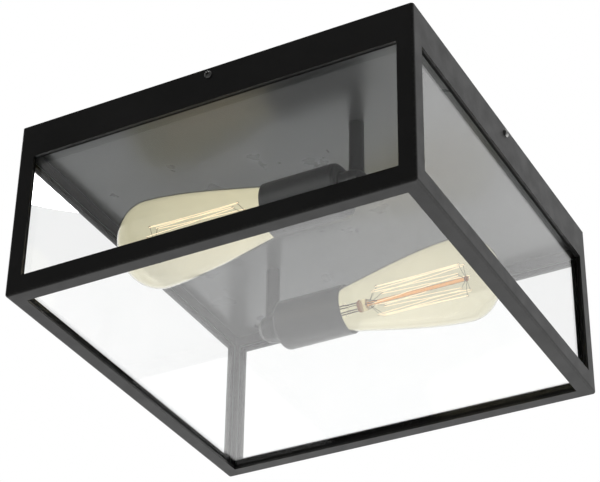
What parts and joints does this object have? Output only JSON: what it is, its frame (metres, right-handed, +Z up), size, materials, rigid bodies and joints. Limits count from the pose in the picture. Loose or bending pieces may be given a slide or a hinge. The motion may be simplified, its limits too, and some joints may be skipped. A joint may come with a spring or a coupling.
{
  "type": "ceiling lantern",
  "caption": "Square flush porch ceiling lantern: a glazed black steel cage that clamps round a ceiling tray with side-by-side filament lamps in cups on short stems.",
  "frame": {"origin": "centre of the lantern in the plane of the ceiling that its tray rests against", "axes": "+Z up, into the ceiling; +X along the lamps' axes, to the right; +Y to the back"},
  "size_m": [0.3644, 0.3644, 0.165],
  "materials": {
    "frame_paint": "satin black powder coat on folded steel",
    "clear_glass": "clear float glass",
    "seal_rubber": "matt black bonding seal",
    "screw_steel": "bright zinc plate",
    "plated_steel": "dull zinc plate",
    "tray_paint": "satin grey enamel on pressed steel",
    "terminal_plastic": "moulded, matt",
    "brass": "plain brass",
    "lamp_metal": "satin dark grey enamel",
    "holder_ceramic": "unglazed porcelain",
    "lamp_glass": "faintly amber clear glass",
    "lamp_cap": "rolled brass",
    "lamp_base": "black glass insulator with a soldered contact",
    "rod_glass": "amber glass rod",
    "filament": "pale cream coated filament",
    "support_wire": "nickel wire"
  },
  "bodies": {
    "tray_and_lampholders": {"ceiling_tray": "tray_paint", "earth_nut": "plated_steel", "terminal_block": "terminal_plastic", "terminal_clamps": "brass", "terminal_screws": "screw_steel", "stem_1": "lamp_metal", "stem_2": "lamp_metal", "stem_nuts": "plated_steel", "elbow_1": "lamp_metal", "elbow_2": "lamp_metal", "cup_1": "lamp_metal", "cup_2": "lamp_metal", "lampholder_1": "holder_ceramic", "lampholder_2": "holder_ceramic", "holder_shells": "brass", "holder_contacts": "brass"},
    "cage": {"band_back": "frame_paint", "band_front": "frame_paint", "band_left": "frame_paint", "band_right": "frame_paint", "pane_back": "clear_glass", "pane_bottom": "clear_glass", "pane_front": "clear_glass", "pane_left": "clear_glass", "pane_right": "clear_glass", "post_back_left": "frame_paint", "post_back_right": "frame_paint", "post_front_left": "frame_paint", "post_front_right": "frame_paint", "rail_back": "frame_paint", "rail_front": "frame_paint", "rail_left": "frame_paint", "rail_right": "frame_paint", "seal_back": "seal_rubber", "seal_bottom": "seal_rubber", "seal_front": "seal_rubber", "seal_left": "seal_rubber", "seal_right": "seal_rubber", "side_screw_nuts": "plated_steel"},
    "side_screw_front": {"side_screw_front": "screw_steel"},
    "side_screw_right": {"side_screw_right": "screw_steel"},
    "side_screw_back": {"side_screw_back": "screw_steel"},
    "side_screw_left": {"side_screw_left": "screw_steel"},
    "lamp_1": {"lamp_glass_1": "lamp_glass", "lamp_cap_1": "lamp_cap", "lamp_base_1": "lamp_base", "lamp_mount_1": "rod_glass", "lamp_filament_1": "filament", "lamp_supports_1": "support_wire"},
    "lamp_2": {"lamp_glass_2": "lamp_glass", "lamp_cap_2": "lamp_cap", "lamp_base_2": "lamp_base", "lamp_mount_2": "rod_glass", "lamp_filament_2": "filament", "lamp_supports_2": "support_wire"}
  },
  "joints": [
    {"name": "cage_lowering", "type": "slide", "parent": "tray_and_lampholders", "child": "cage", "axis": [0, 0, -1], "range_m": [0, 0.15]},
    {"name": "side_screw_front_loosening", "type": "slide", "parent": "cage", "child": "side_screw_front", "axis": [0, -1, 0], "range_m": [0, 0.003]},
    {"name": "side_screw_right_loosening", "type": "slide", "parent": "cage", "child": "side_screw_right", "axis": [1, 0, 0], "range_m": [0, 0.003]},
    {"name": "side_screw_back_loosening", "type": "slide", "parent": "cage", "child": "side_screw_back", "axis": [0, 1, 0], "range_m": [0, 0.003]},
    {"name": "side_screw_left_loosening", "type": "slide", "parent": "cage", "child": "side_screw_left", "axis": [-1, 0, 0], "range_m": [0, 0.003]},
    {"name": "lamp_1_withdrawal", "type": "slide", "parent": "tray_and_lampholders", "child": "lamp_1", "axis": [-1, 0, 0], "range_m": [0, 0.024]},
    {"name": "lamp_2_withdrawal", "type": "slide", "parent": "tray_and_lampholders", "child": "lamp_2", "axis": [1, 0, 0], "range_m": [0, 0.024]}
  ]
}
